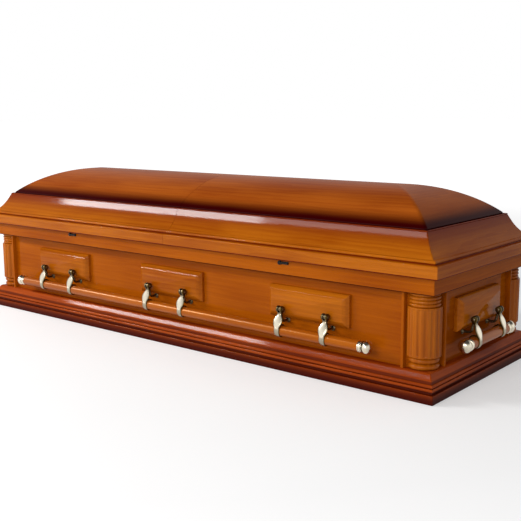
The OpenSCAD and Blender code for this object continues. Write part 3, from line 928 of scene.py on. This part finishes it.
def rim_outline():
    """Fascia, quirk, bead, a long cove that steepens to a thin lip, then the hollow inside."""
    out = HALF_L - RIM[1].x                 # the fascia's inset, which is negative
    r, foot, lip = EDGE_R, CROWN_Z - COVE_RISE, CROWN_Z + 1
    start, run = 18, 48                     # the cove's inset at its foot, and how far in it goes
    flat, power = 0.67, 3.4                 # share of its run that is straight, and how it steepens
    cove = [
        (start + run * (flat * t + (1 - flat) * (1 - (1 - t) ** power)), foot + (lip - foot) * t)
        for t in np.linspace(0, 1, 25)
    ]
    return held(
        arc((out + r, LID_Z + r), r, 270, 180)
        + arc((out + r, FASCIA_TOP - r), r, 180, 100)
        + [(5.5, FASCIA_TOP + 2.3), (7, FASCIA_TOP + 4.1)]
        + arc((8, BEAD_TOP - 5.4), 3, 270, 153, 8)
        + arc((8.5, BEAD_TOP - 1.5), 1.5, 153, 90, 5)
        + cove
        + arc((68, CROWN_Z + 3), 2, 270, 90)
        + [(69.5, CROWN_Z + 5), (69.5, CROWN_Z), (RIM_TOP, CROWN_Z)]
        + [(RIM_BACK, foot - 4.5), (RIM_BACK, LID_Z)]
    )


def crown_outline():
    """The barrel's arch from its inner apex, down to its foot and up to its outer apex."""
    inset, foot = HALF_W - CROWN[1].y, CROWN_Z + 9
    width, rise = HALF_W - inset, APEX_Z - foot
    radius = (width**2 + rise**2) / (2 * rise)
    centre = (HALF_W, APEX_Z - radius)

    def arch(r, start):
        low = degrees(acos((HALF_W - start) / r))
        return arc(centre, r, 180 - low, 90, ARCH_STEPS)

    back = inset + CROWN_T
    edge = [(back, CROWN_Z), (inset + 0.6, CROWN_Z), (inset, CROWN_Z + 0.6), (inset, foot - 1)]
    return arch(radius - CROWN_T, back)[::-1] + held(edge, closed=False) + arch(radius, inset)


class CASKET_OT_lid(bpy.types.Operator):
    """Builds the lid: a moulded rim and a hipped barrel crown, split into two halves"""

    bl_idname = "casket.lid"
    bl_label = "Lid"

    def execute(self, context):
        sizes = context.scene.casket_sizes
        head_end, foot_start = corners("head_lid_rim")[1].x, RIM[0].x
        splits = {"head": ((head_end, 0, 0), (1, 0, 0)), "foot": ((foot_start, 0, 0), (-1, 0, 0))}
        for number, (half, split) in enumerate(splits.items()):
            bm = bmesh.new()
            sweep(bm, HALF_L, HALF_W, rim_outline(), sizes.mitre_ease / MM)
            cut(bm, *split)
            rim = piece_from(bm, f"{half}_lid_rim_timber", finish("lacquered wood, rim"))
            lay_grain(rim, 20 + number)
            # painted shade in the quirk under the bead and at the rim's joint with the rail
            quirk = (FASCIA_TOP + 2, FASCIA_TOP + 4.9, 0.9)
            lay_tone(rim, "toner", quirk_shade((LID_Z, LID_Z + QUIRK, 1.0), quirk))
            stands_for(rim, "casket", "stained_wood", f"{half}_lid_rim")
            bm = bmesh.new()
            sweep(bm, HALF_L, HALF_W, crown_outline(), sizes.hip_round / MM, closed=False)
            bmesh.ops.remove_doubles(bm, verts=bm.verts, dist=0.01)
            cut(bm, *split)
            crown = piece_from(bm, f"{half}_lid_crown_timber", finish("lacquered wood, crown"))
            lay_grain(crown, 22 + number)
            stands_for(crown, "casket", "shaded_stained_wood", f"{half}_lid_crown")
        bm = bmesh.new()
        lap_strip(bm, (head_end + foot_start) / 2, half_width=12)
        lap = piece_from(bm, "lid_lap_strip", finish("lacquered wood, box"))
        lay_grain(lap, 24, axis=1)
        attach(lap, "casket")
        return {"FINISHED"}


def lap_strip(bm, split, half_width):
    """A thin strip of wood that follows the lid's inner face behind the split."""
    room, thick = 0.6, 3
    arch = [p for p in crown_outline()[ARCH_STEPS::-1] if p[0] > RIM_TOP + 1]
    outer = [
        (RIM_BACK + room, LID_Z + 1), (RIM_BACK + room, CROWN_Z - COVE_RISE - 4.5),
        (RIM_TOP + room, CROWN_Z),
    ]
    inner = [(i + thick, z) for i, z in outer] + [(i, z - room - thick) for i, z in arch]
    outer += [(i, z - room) for i, z in arch]
    rings = []
    for x in (split - half_width, split + half_width):
        chains = []
        for chain in (outer, inner):
            points = [(i - HALF_W, z) for i, z in chain]
            chains.append(points + [(-y, z) for y, z in points[-2::-1]])
        loop = chains[0] + chains[1][::-1]
        rings.append(ring_of(bm, [(x, y, z) for y, z in loop]))
    join_rings(bm, rings, caps=False)
    count = len(rings[0]) // 2
    for ring in rings:
        for i in range(count - 1):
            bm.faces.new((ring[i], ring[i + 1], ring[-i - 2], ring[-i - 1]))


class CASKET_OT_catches(bpy.types.Operator):
    """Builds the two catches under the lid: a plate with screws, a boss and a thumb lever"""

    bl_idname = "casket.catches"
    bl_label = "Catches"

    def execute(self, context):
        for half in HALVES:
            low, high = corners(f"{half}_catch")
            size = high - low
            place = Matrix.Translation((low.x, high.y, low.z))
            boss, plate = size.z / 2, 2     # the boss's radius and height, and the plate's thickness
            bm = bmesh.new()
            block(bm, (0, -plate, 2), (size.x, 0, size.z - 2), place, 0.6)
            dome = [(boss, 0), (boss, size.y - 2.2)] + arc((boss - 2, size.y - 2), 2, 0, 90, 5)
            dimple = [(1.6, size.y), (1.6, size.y - 0.8), (0.4, size.y - 0.8)]
            middle_of_boss = place @ Matrix.Translation((boss, 0, boss))
            turned(bm, dome + dimple, middle_of_boss @ OUTWARD, 32)
            lever = (boss, 0.6 - size.y, boss - 2), (size.x - 1, 3.6 - size.y, boss + 2)
            thumb = (size.x - 4, 0.2 - size.y, boss - 2.6), (size.x, -plate, boss + 2.6)
            for part in (lever, thumb):
                block(bm, *part, place, 0.9)
            for x in (15.5, 28.5):
                head = [(2.4, 0), (2.4, 0.5)] + arc((0.4, 0.5), 2, 0, 80, 4)
                turned(bm, head, place @ Matrix.Translation((x, -plate, boss)) @ OUTWARD, 20)
            catch = piece_from(bm, f"{half}_catch_detail", finish("blackened steel"))
            stands_for(catch, "casket", "blackened_steel", f"{half}_catch")
        return {"FINISHED"}


# ---- handles ------------------------------------------------------------------------------------

PIVOTS = {j["child"][: -len("_handle")]: Vector(j["pos_m"]) / MM for j in frame["joints"]}
BAR_R, TIP_R, TIP_L, COLLAR_L = 17, 21.2, 16, 14
TIP_SHORT = 16                              # how far a tip stays short of its node's end
BAR_Z = middle("bar_front").z
BAR_OUT = -middle("bar_front").y - HALF_W   # distance of a bar's axis beyond the base's edge
PIVOT_Z = PIVOTS["front"].z
BORE = BAR_R + 0.15                         # the eye round the bar, inside and outside
EYE_R = BAR_R + 4.15
PIN_R, PIN_BORE = 3, 3.1
HEAD_R, HEAD_W, EAR_SLOT = 10.4, 22, 8.8    # an arm's head, and the slot between its ears
NECK_Z = PIVOT_Z - HEAD_R - 3
NECK_W, LEAF_W = 15, 35                     # an arm's least and greatest widths
LEAF_TOP, LEAF_FOOT = PIVOT_Z - 17, BAR_Z + 8
FOOT_Z = BAR_Z - EYE_R


def clamped(value):
    return min(1.0, max(0.0, value))


def hung(kind, side):
    """The nodes of a side's arms or lugs, and the place of the first on that side."""
    count = 6 if side in LONG_SIDES else 2
    nodes = [f"{kind}_{side}_{i + 1}" for i in range(count)]
    first = ON_SIDE[side].inverted() @ middle(nodes[0])
    return nodes, ON_SIDE[side] @ Matrix.Translation((first.x, 0, 0))


def on_axis(place, y, z):
    """Puts a turned thing on an axis along the side, at a distance inwards and a height."""
    return place @ Matrix.Translation((0, y, z)) @ ALONG


def tip_profile(half):
    """A turned tip: a collar with a bead, a neck and a flattened ball, (radius, distance) points."""
    turn = degrees(acos((BAR_R - 1) / TIP_R))
    neck = half - TIP_L * sin(radians(turn))
    start = neck - 2 - COLLAR_L
    return (
        [(BAR_R - 1, start), (BAR_R + 0.4, start)]
        + arc((BAR_R + 0.4, start + 1.2), 1.2, -90, 30, 4)
        + [(BAR_R + 0.3, start + 3), (BAR_R + 0.3, start + 3.6)]
        + arc((BAR_R - 0.6, start + 7.2), 3.4, -75, 75, 10)
        + [(BAR_R + 0.2, start + 10.9), (BAR_R + 0.2, start + 11.4)]
        + arc((BAR_R, start + 12.6), 1.2, -60, 90, 5)
        + [(BAR_R - 3.2, start + COLLAR_L + 0.2), (BAR_R - 3.4, neck - 0.6)]
        + [(TIP_R * x, half + TIP_L * y) for x, y in arc((0, 0), 1, -turn, 84, 26)]
        + [(1.2, half + TIP_L)]
    )


class CASKET_OT_bars(bpy.types.Operator):
    """Builds the four bars: a round wooden bar, and a turned metal tip on each end"""

    bl_idname = "casket.bars"
    bl_label = "Bars"

    def execute(self, context):
        for number, side in enumerate(SIDES):
            low, high = corners(f"bar_{side}")
            is_long = side in LONG_SIDES
            half = max(high.x - low.x, high.y - low.y) / 2 - TIP_L - TIP_SHORT
            profile = tip_profile(half)
            wood_end = profile[0][1]
            place = on_axis(ON_SIDE[side], -BAR_OUT, BAR_Z)
            bm = bmesh.new()
            ends = [(BAR_R, wood_end), (BAR_R, wood_end - 1)]
            turned(bm, [(r, -x) for r, x in ends] + ends[::-1], place, 48)
            bar = piece_from(bm, f"wooden_bar_{side}", finish("lacquered wood, bar"))
            lay_grain(bar, 30 + number, axis=0 if is_long else 1)
            stands_for(bar, f"{side}_handle", "stained_wood", f"bar_{side}")
            bm = bmesh.new()
            for end in (1, -1):
                turned(bm, [(r, x * end) for r, x in profile], place, 56)
            tips = piece_from(bm, f"bar_tips_{side}", finish("antique brass"), sharp=45)
            inverse = place.inverted()

            def dulled(point):
                """Dull in the grooves, where the radius is small, and a little on the ball."""
                p = inverse @ point
                beyond = abs(p.z) - half
                groove = (BAR_R + 0.9 - sqrt(p.x**2 + p.y**2)) / 1.5
                return max(groove if beyond < -8 else 0, beyond / 50)

            lay_tone(tips, "patina", dulled)
            stands_for(tips, f"{side}_handle", "antique_brass", f"bar_{side}")
        return {"FINISHED"}


def melted(bm, name, material, grid, passes, share):
    """Runs overlapping shapes together into one casting, softens it and keeps a share of its faces."""
    piece = piece_from(bm, name, material)
    remesh = piece.modifiers.new("melt", "REMESH")
    remesh.mode = "VOXEL"
    remesh.voxel_size = grid
    soften = piece.modifiers.new("soften", "SMOOTH")
    soften.factor = 0.5
    soften.iterations = passes
    thin = piece.modifiers.new("thin", "DECIMATE")
    thin.ratio = share
    settle(piece)
    return piece


def drill(piece, cutters):
    """Takes turned and squared cutters, in millimetres, out of a casting."""
    for shape in cutters:
        bm = bmesh.new()
        shape(bm)
        cutter = piece_from(bm, "cutter", piece.data.materials[0])
        hole = piece.modifiers.new("hole", "BOOLEAN")
        hole.operation = "DIFFERENCE"
        hole.solver = "EXACT"
        hole.object = cutter
        settle(piece)
        bpy.data.objects.remove(cutter)


def blade_front(z):
    """How far in the arm's face lies, at a height: a bowed blade that runs down into the eye."""
    fall = clamped((PIVOT_Z - z) / (PIVOT_Z - BAR_Z))
    start, end, bow = -3.0, 0.5 - BAR_OUT - EYE_R, 2
    blade = start + (end - start) * (1 - cos(pi * fall)) / 2 - bow * sin(pi * fall)
    if z < BAR_Z:
        blade = 0.0
    if abs(z - BAR_Z) < EYE_R:
        blade = min(blade, -BAR_OUT - sqrt(EYE_R**2 - (z - BAR_Z) ** 2))
    return blade


def leaf_width(z):
    """The arm's width at a height: a broad leaf between a neck and the band round the bar."""
    t = clamped((LEAF_TOP - z) / (LEAF_TOP - LEAF_FOOT))
    leaf = NECK_W + (LEAF_W - NECK_W) * sin(pi * t**0.85) ** 1.1
    band = NECK_W + 5 * clamped((z - FOOT_Z) / 14)
    return max(leaf, band) if z < BAR_Z + 20 else leaf


def arm_casting(bm, place, crown):
    """A head for two ears, and a leaf that runs down into an eye, as horizontal slices."""
    slices = []
    head = [PIVOT_Z - 1, PIVOT_Z - 5]
    for z in [*head, *np.linspace(NECK_Z, FOOT_Z + 2.2, 34), FOOT_Z + 0.9, FOOT_Z + 0.1]:
        if z in head:
            front, back, half = -3.5, 4.5, 7.5
        else:
            front, half = blade_front(z), leaf_width(z) / 2
            back = front + 6.5 + 2 * (PIVOT_Z - z) / (PIVOT_Z - BAR_Z)
            if abs(z - BAR_Z) < EYE_R:
                back = max(back, -BAR_OUT + sqrt(EYE_R**2 - (z - BAR_Z) ** 2))
        waist = min(half, 6.5)              # the eye is narrower than the leaf's face
        deep = min(crown, 0.35 * (back - front))
        edge = front + deep + min(2.6, 0.3 * (back - front))
        face = [(half * u, front + deep * u * u) for u in np.linspace(-1, 1, 9)]
        rear = [(half, edge), (waist, min(back, edge + 2)), (waist, back)]
        outline = face + rear + [(-x, y) for x, y in rear[::-1]]
        slices.append(ring_of(bm, [(x, y, z) for x, y in outline], place))
    join_rings(bm, slices)
    half, ease = HEAD_W / 2, 2
    barrel = (
        [(ease, -half)] + arc((HEAD_R - ease, ease - half), ease, -90, 0, 4)
        + arc((HEAD_R - ease, half - ease), ease, 0, 90, 4) + [(ease, half)]
    )
    turned(bm, barrel, on_axis(place, 0, PIVOT_Z), 32)
    # a rounded shoulder carries the head on the leaf
    shoulder = [(2, -9), (6, -8.4), (8, -6), (8, 6), (6, 8.4), (2, 9)]
    turned(bm, shoulder, on_axis(place, 0.5, PIVOT_Z - 8), 24)


class CASKET_OT_arms(bpy.types.Operator):
    """Builds the cast swing arms of each handle, each with two ears and an eye round the bar"""

    bl_idname = "casket.arms"
    bl_label = "Arms"

    def execute(self, context):
        sizes = context.scene.casket_sizes
        for side in SIDES:
            nodes, place = hung("arm", side)
            bm = bmesh.new()
            arm_casting(bm, place, sizes.leaf_crown / MM)
            brass, grid = finish("antique brass"), sizes.casting_grid
            arm = melted(bm, f"arms_{side}", brass, grid, passes=5, share=0.16)

            def bar_bore(bm):
                turned(bm, [(BORE, -30), (BORE, 30)], on_axis(place, -BAR_OUT, BAR_Z), 64)

            def pin_bore(bm):
                turned(bm, [(PIN_BORE, -30), (PIN_BORE, 30)], on_axis(place, 0, PIVOT_Z), 24)

            def slot(bm):
                half = EAR_SLOT / 2
                block(bm, (-half, -20, PIVOT_Z - HEAD_R), (half, 20, PIVOT_Z + 20), place, 0.8)

            drill(arm, [bar_bore, pin_bore, slot])
            smooth(arm.data, 38)
            inverse = place.inverted()

            def dulled(point):
                """Dull at the back, on the head, at the leaf's edges and foot; bright between."""
                p = inverse @ point
                behind = (p.y - blade_front(min(p.z, NECK_Z)) - 3) / 5
                edge = (2 * abs(p.x) / leaf_width(p.z) - 0.5) / 0.5
                head = min(0.7, (p.z - LEAF_TOP + 8) / 16)
                foot = min(0.5, (LEAF_FOOT + 4 - p.z) / 14)
                return max(behind, edge, head, foot)

            lay_tone(arm, "patina", dulled)
            grow_row(arm, nodes, 2)
            stands_for(arm, f"{side}_handle", "antique_brass", *nodes)
        return {"FINISHED"}


LUG_FOOT_R = 9


def lug_casting(bm, place, lug_z):
    """A neck that comes straight out of the wall, bends up behind the arm and ends in a boss."""
    bend, upright = 14, 8.5                 # radius of the bend, and inset of the upright stretch
    path = [
        (WALL_IN - 1, lug_z), (WALL_IN - 8, lug_z),
        *arc((upright + bend, lug_z + bend), bend, 270, 180, 8),
        (6, lug_z + 24), (2.5, lug_z + 33), (0, PIVOT_Z - 2),
    ]
    across = Vector((1, 0, 0))
    rings = []
    for i, (y, z) in enumerate(path):
        before, after = path[max(i - 1, 0)], path[min(i + 1, len(path) - 1)]
        ahead = Vector((0, after[0] - before[0], after[1] - before[1])).normalized()
        deep, swell = ahead.cross(across), 4.2 if i else 4.9
        points = [
            Vector((0, y, z)) + across * (3.9 * cos(a)) + deep * (swell * sin(a))
            for a in [2 * pi * k / 20 for k in range(20)]
        ]
        rings.append(ring_of(bm, points, place))
    join_rings(bm, rings)
    boss = [(2, -4)] + arc((6.4, -2.8), 1.2, -90, 0, 3) + arc((6.4, 2.8), 1.2, 0, 90, 3) + [(2, 4)]
    turned(bm, boss, on_axis(place, 0, PIVOT_Z), 32)
    foot = (
        [(1, -0.4), (LUG_FOOT_R, -0.4), (LUG_FOOT_R, 1.2)]
        + arc((LUG_FOOT_R - 1.6, 1.2), 1.6, 0, 90, 4)
        + [(6.4, 2.8), (5, 5.2), (4, 7)]
    )
    turned(bm, foot, place @ Matrix.Translation((0, WALL_IN, lug_z)) @ OUTWARD, 36)


class CASKET_OT_lugs(bpy.types.Operator):
    """Builds the cast lugs that carry the arms, each with its pivot pin and two pin heads"""

    bl_idname = "casket.lugs"
    bl_label = "Lugs"

    def execute(self, context):
        grid = context.scene.casket_sizes.casting_grid
        brass = finish("antique brass")
        for side in SIDES:
            nodes, place = hung("lug", side)
            bm = bmesh.new()
            lug_casting(bm, place, corners(nodes[0])[0].z + LUG_FOOT_R)
            casting = melted(bm, f"lug_casting_{side}", brass, grid, passes=2, share=0.3)
            bm = reopened(casting)
            bpy.data.objects.remove(casting)
            end = HEAD_W / 2 + 0.15
            pin = [
                (PIN_R, end), (4.6, end + 0.1), (4.4, end + 0.8), (3, end + 1.5), (1, end + 1.8),
            ]
            turned(bm, [(r, -x) for r, x in pin[::-1]] + pin, on_axis(place, 0, PIVOT_Z), 24)
            lug = piece_from(bm, f"lugs_{side}", brass, sharp=38)
            lay_tone(lug, "patina", lambda point: 0.8)
            grow_row(lug, nodes, 2)
            stands_for(lug, "casket", "antique_brass", *nodes)
        return {"FINISHED"}


# ---- stage --------------------------------------------------------------------------------------


def lamp(name, place, target, size, power, along=None):
    """A soft lamp, a rectangle that faces a target, its long side along a direction if given."""
    light = bpy.data.lights.new(name, "AREA")
    light.shape = "RECTANGLE"
    light.size, light.size_y = size
    light.energy = power
    holder = bpy.data.objects.new(name, light)
    bpy.context.scene.collection.objects.link(holder)
    away = (Vector(place) - Vector(target)).normalized()
    if along:
        across = Vector(along).normalized()
        away = (away - across * away.dot(across)).normalized()
        turn = Matrix((across, away.cross(across), away)).transposed()
    else:
        turn = away.to_track_quat("Z", "Y").to_matrix()
    holder.matrix_world = Matrix.Translation(place) @ turn.to_4x4()


def seen_directly(tree):
    """1 for a ray from the camera, or by way of a mirror or glass, and 0 for other light."""
    path = add_node(tree, "ShaderNodeLightPath").outputs
    seen = path["Is Camera Ray"]
    for kind in ("Is Glossy Ray", "Is Transmission Ray"):
        seen = add_node(tree, "ShaderNodeMath", [seen, path[kind]], operation="MAXIMUM").outputs[0]
    return seen


def floor_paint(colour):
    """Matt pale studio paper. A little light of its own, seen directly, brings it to white."""
    material, tree, shader = new_material("studio paper")
    place = add_node(tree, "ShaderNodeTexCoord").outputs["Object"]
    fibre = add_node(tree, "ShaderNodeTexNoise", {"Vector": place, "Scale": 3.0, "Detail": 3.0})
    tone = add_node(
        tree, "ShaderNodeMix",
        {BY: fibre.outputs["Fac"], FROM: rgba(colour), TO: rgba(colour, 0.97)}, data_type="RGBA",
    )
    tree.links.new(tone.outputs[MIXED], shader.inputs["Base Color"])
    shader.inputs["Roughness"].default_value = 0.9
    shader.inputs["Specular IOR Level"].default_value = 0.0
    shader.inputs["Emission Color"].default_value = (1, 1, 1, 1)
    # the light grows with the distance from the casket, in metres
    away = add_node(tree, "ShaderNodeVectorMath", [place], operation="LENGTH").outputs["Value"]
    lift = add_node(tree, "ShaderNodeMapRange", [away, 1.5, 6.0, 0.32, 0.8]).outputs[0]
    shown = add_node(tree, "ShaderNodeMath", [seen_directly(tree), lift], operation="MULTIPLY")
    tree.links.new(shown.outputs[0], shader.inputs["Emission Strength"])
    return material


def studio_world(sky):
    """A white backdrop all round, under a dim ceiling that only mirrors and gloss show."""
    world = bpy.data.worlds.new("studio")
    world.use_nodes = True
    tree = world.node_tree
    toward = add_node(tree, "ShaderNodeTexCoord").outputs["Generated"]
    up = add_node(tree, "ShaderNodeSeparateXYZ", [toward]).outputs["Z"]
    backdrop = add_node(
        tree, "ShaderNodeMapRange", [up, 0.3, 0.75, 1.0, 0.08], interpolation_type="SMOOTHSTEP"
    ).outputs[0]
    camera_ray = add_node(tree, "ShaderNodeLightPath").outputs["Is Camera Ray"]
    shown = add_node(tree, "ShaderNodeMath", [backdrop, camera_ray], operation="MAXIMUM").outputs[0]
    strength = add_node(tree, "ShaderNodeMapRange", [seen_directly(tree), 0.0, 1.0, sky, shown])
    tree.links.new(strength.outputs[0], tree.nodes["Background"].inputs["Strength"])
    tree.nodes["Background"].inputs["Color"].default_value = (1, 1, 1, 1)
    return world


FLOOR_HALF, FLOOR_Z = 60000, -0.3           # half the floor's width, and how far below the casket
LONG_WAY = (1.7, -0.55, 0.5)                # the direction of the two long lamps in line
CAMERA_PLACE = (2.1482, -2.3893, 0.8084)    # in metres
CAMERA_DOWN, CAMERA_TURN, CAMERA_ROLL = 9.818, 39.772, -0.41    # in degrees


class CASKET_OT_stage(bpy.types.Operator):
    """Sets up the floor, the lamps, the world and the camera"""

    bl_idname = "casket.stage"
    bl_label = "Stage"

    def execute(self, context):
        scene = context.scene
        stage = scene.casket_stage
        bm = bmesh.new()
        bmesh.ops.create_grid(bm, x_segments=1, y_segments=1, size=FLOOR_HALF)
        bmesh.ops.translate(bm, vec=(0, 0, FLOOR_Z), verts=bm.verts)
        piece_from(bm, "studio_floor", floor_paint(list(stage.floor)))

        key, strip, fill = (-3.69, -2.87, 2.78), (-2.0, -3.4, 3.26), (1.2, -4.4, 1.75)
        lamp("key softbox", key, (-0.2, -0.3, 0.4), (2.0, 0.4), stage.key, LONG_WAY)
        lamp("strip", strip, (0.2, -0.3, 0.4), (1.6, 0.2), stage.strip, LONG_WAY)
        lamp("fill softbox", fill, (0.3, -0.2, 0.25), (3.2, 1.6), stage.fill)
        scene.world = studio_world(stage.sky)

        camera = bpy.data.cameras.new("camera")
        camera.lens = stage.lens
        camera.sensor_width = 36
        holder = bpy.data.objects.new("camera", camera)
        scene.collection.objects.link(holder)
        turn = Euler((radians(90 - CAMERA_DOWN), 0, radians(CAMERA_TURN))).to_matrix()
        roll = Matrix.Rotation(radians(CAMERA_ROLL), 3, "Z")
        holder.matrix_world = Matrix.Translation(CAMERA_PLACE) @ (turn @ roll).to_4x4()
        scene.camera = holder
        scene.view_settings.view_transform = "Standard"
        return {"FINISHED"}


# ---- add-on -------------------------------------------------------------------------------------

OPERATORS = (
    CASKET_OT_base, CASKET_OT_box, CASKET_OT_columns, CASKET_OT_panels, CASKET_OT_lid,
    CASKET_OT_catches, CASKET_OT_bars, CASKET_OT_arms, CASKET_OT_lugs, CASKET_OT_stage,
)
GROUPS = {"casket_sizes": CasketSizes, "casket_finish": CasketFinish, "casket_stage": CasketStage}


class CASKET_PT_panel(bpy.types.Panel):
    """Lists the casket's settings and the steps that build it"""

    bl_label = "Casket"
    bl_idname = "CASKET_PT_panel"
    bl_space_type = "VIEW_3D"
    bl_region_type = "UI"
    bl_category = "Casket"

    def draw(self, context):
        for name, group in GROUPS.items():
            box = self.layout.box()
            for key in group.__annotations__:
                box.prop(getattr(context.scene, name), key)
        for operator in OPERATORS:
            self.layout.operator(operator.bl_idname)


CLASSES = (*GROUPS.values(), *OPERATORS, CASKET_PT_panel)


def register():
    for cls in CLASSES:
        bpy.utils.register_class(cls)
    for name, group in GROUPS.items():
        setattr(bpy.types.Scene, name, PointerProperty(type=group))


def unregister():
    for name in GROUPS:
        delattr(bpy.types.Scene, name)
    for cls in reversed(CLASSES):
        bpy.utils.unregister_class(cls)


def main():
    register()
    for operator in OPERATORS:
        group, step = operator.bl_idname.split(".")
        getattr(getattr(bpy.ops, group), step)()


if __name__ == "__main__":
    main()
